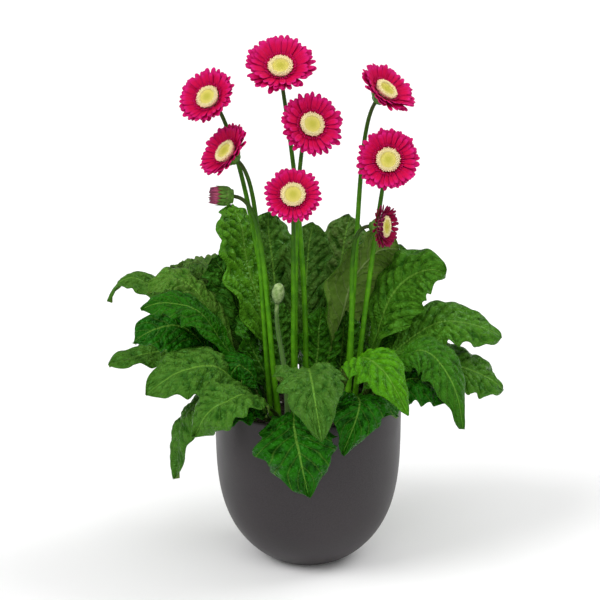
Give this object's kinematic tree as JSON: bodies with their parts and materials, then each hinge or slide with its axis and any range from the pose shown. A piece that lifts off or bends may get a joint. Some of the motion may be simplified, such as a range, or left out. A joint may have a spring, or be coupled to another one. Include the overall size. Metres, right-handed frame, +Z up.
{
  "type": "potted gerbera",
  "caption": "Flowering gerbera with a rosette of lobed leaves and daisy heads on tall stalks, in a round-bottomed charcoal cover pot with a black grow pot inside.",
  "frame": {"origin": "centre of the cover pot's base, on the surface it stands on", "axes": "+Z up along the pot's axis, -Y towards the front that most flower heads face, +X to the right seen from the front"},
  "size_m": [0.4087, 0.3313, 0.5315],
  "materials": {
    "charcoal_glaze": "satin",
    "black_plastic": "matte",
    "potting_mix": "matte",
    "leaf_green": "satin",
    "stalk_green": "satin",
    "petal_crimson": "matte",
    "floret_cream": "matte",
    "young_green": "matte"
  },
  "bodies": {
    "root": {"cover_pot": "charcoal_glaze", "grow_pot": "black_plastic", "potting_mix": "potting_mix", "leaf_left_1": "leaf_green", "leaf_left_2": "leaf_green", "leaf_left_3": "leaf_green", "leaf_left_4": "leaf_green", "leaf_left_5": "leaf_green", "leaf_left_6": "leaf_green", "leaf_left_7": "leaf_green", "leaf_left_8": "leaf_green", "leaf_left_9": "leaf_green", "leaf_left_10": "leaf_green", "leaf_back_1": "leaf_green", "leaf_back_2": "leaf_green", "leaf_back_3": "leaf_green", "leaf_back_4": "leaf_green", "leaf_back_5": "leaf_green", "leaf_back_6": "leaf_green", "leaf_right_1": "leaf_green", "leaf_right_2": "leaf_green", "leaf_right_3": "leaf_green", "leaf_right_4": "leaf_green", "leaf_right_5": "leaf_green", "leaf_front_1": "leaf_green", "leaf_front_2": "leaf_green", "leaf_front_3": "leaf_green", "leaf_front_4": "leaf_green", "leaf_front_5": "leaf_green", "leaf_rear_1": "leaf_green", "leaf_rear_2": "leaf_green", "leaf_rear_3": "leaf_green", "leaf_rear_4": "leaf_green", "stalk_1": "stalk_green", "rays_1": "petal_crimson", "disc_1": "floret_cream", "stalk_2": "stalk_green", "rays_2": "petal_crimson", "disc_2": "floret_cream", "stalk_3": "stalk_green", "rays_3": "petal_crimson", "disc_3": "floret_cream", "stalk_4": "stalk_green", "rays_4": "petal_crimson", "disc_4": "floret_cream", "stalk_5": "stalk_green", "rays_5": "petal_crimson", "disc_5": "floret_cream", "stalk_6": "stalk_green", "rays_6": "petal_crimson", "disc_6": "floret_cream", "stalk_7": "stalk_green", "rays_7": "petal_crimson", "disc_7": "floret_cream", "stalk_8": "stalk_green", "rays_8": "petal_crimson", "disc_8": "floret_cream", "stalk_bud": "stalk_green", "bud_petals": "petal_crimson", "young_bud": "young_green"}
  },
  "joints": []
}
